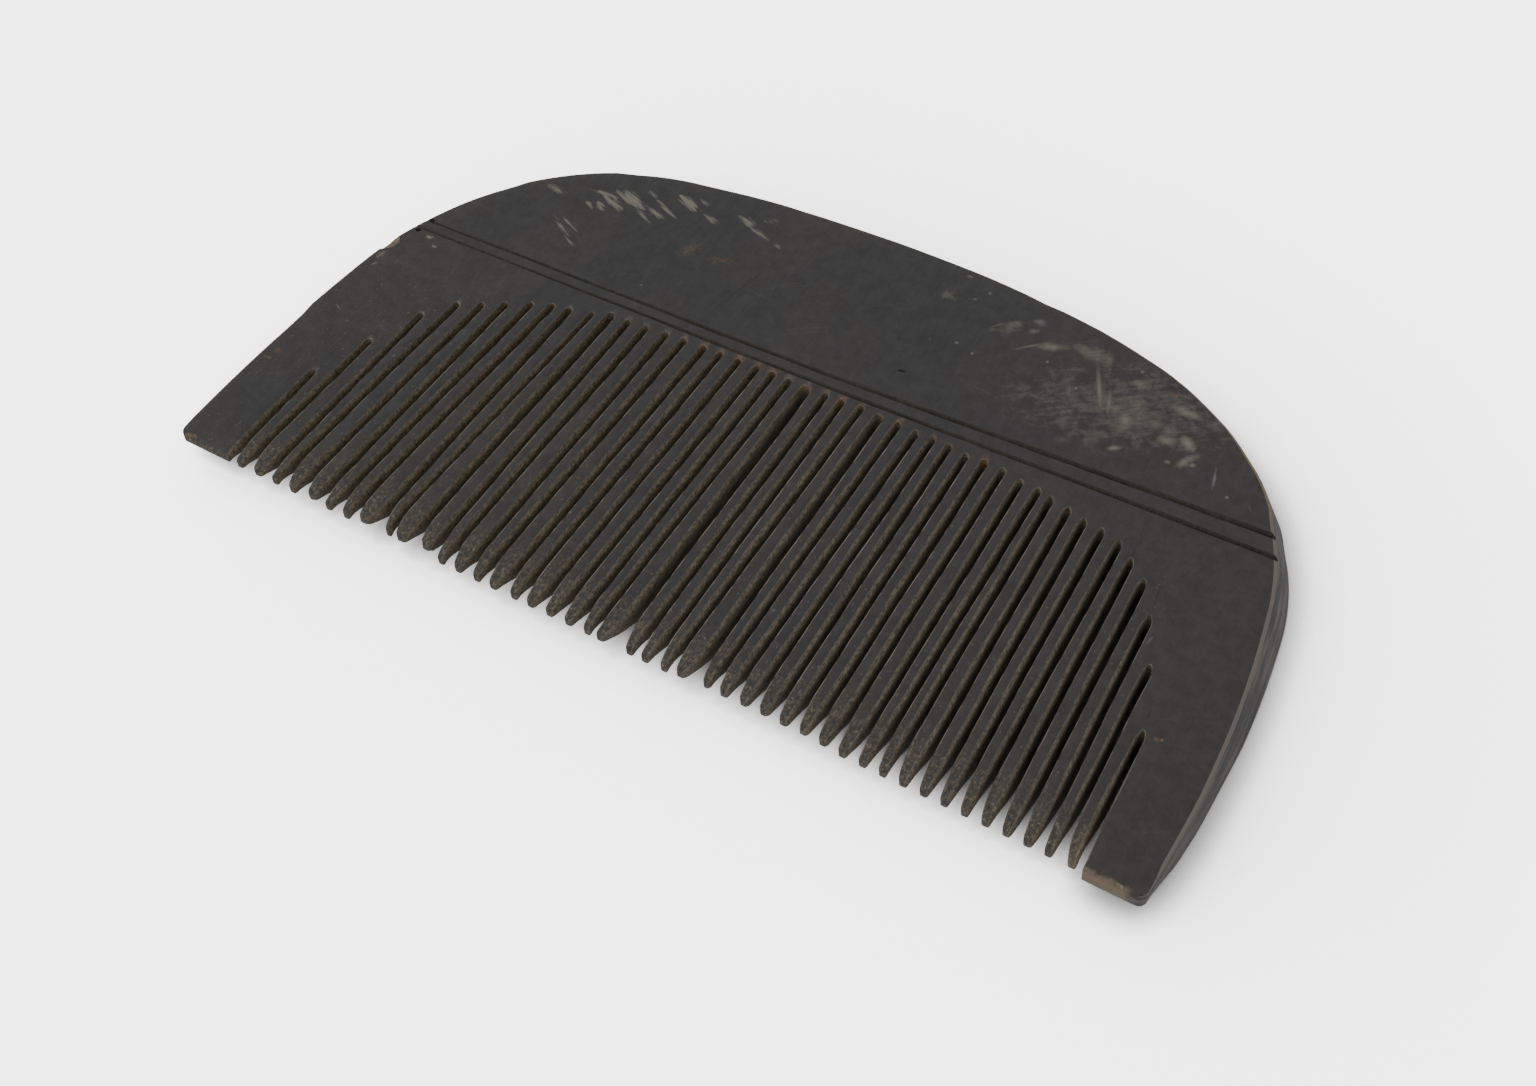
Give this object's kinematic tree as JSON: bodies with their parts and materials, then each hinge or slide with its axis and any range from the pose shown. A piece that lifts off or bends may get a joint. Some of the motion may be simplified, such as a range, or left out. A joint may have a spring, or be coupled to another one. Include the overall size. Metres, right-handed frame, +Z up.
{
  "type": "semicircular comb",
  "caption": "D-shaped wooden hair comb: a flat board with a curved back, fine sawn teeth between two wide guard teeth, and two scored lines across the face.",
  "frame": {"origin": "middle of the bounding box in X and Y, on the plane that the comb lies on", "axes": "+X along the line of the tips to the right guard tooth, +Y from the tips to the curved back, +Z up from the sole to the scored face"},
  "size_m": [0.1163, 0.0632, 0.005],
  "materials": {
    "dark_wood": "dark brown-black close-grained hardwood, hand-polished, worn dull, with pale rubs and file marks"
  },
  "bodies": {
    "root": {"comb": "dark_wood"}
  },
  "joints": []
}
